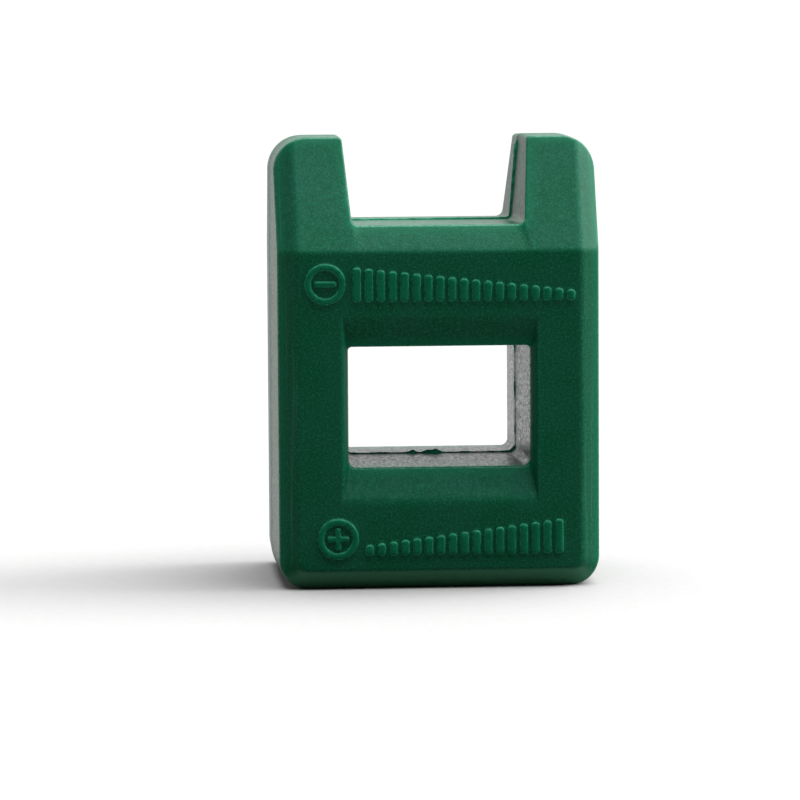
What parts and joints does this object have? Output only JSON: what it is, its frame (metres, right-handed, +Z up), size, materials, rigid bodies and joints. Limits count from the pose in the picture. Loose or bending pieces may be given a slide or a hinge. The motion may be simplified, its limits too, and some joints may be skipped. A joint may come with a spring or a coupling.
{
  "type": "magnetizer and demagnetizer block",
  "caption": "Small hand-held block of two welded plastic shells with a through window and a top notch between two horns, holding ferrite magnets and steel pole strips.",
  "frame": {"origin": "centre of the bounding box on its underside, in the parting plane of the two shells", "axes": "+Z up through the two horns, +X to the right seen from the front, -Y out of the front face through the window"},
  "size_m": [0.035, 0.028, 0.0483],
  "materials": {
    "green_plastic": "satin, fine moulded grain",
    "ferrite": "matt sintered",
    "plated_steel": "zinc plated, sheared edges"
  },
  "bodies": {
    "root": {"front_shell": "green_plastic", "rear_shell": "green_plastic", "front_left_magnet": "ferrite", "front_right_magnet": "ferrite", "rear_left_magnet": "ferrite", "rear_right_magnet": "ferrite", "left_pole_strip": "plated_steel", "right_pole_strip": "plated_steel"}
  },
  "joints": []
}
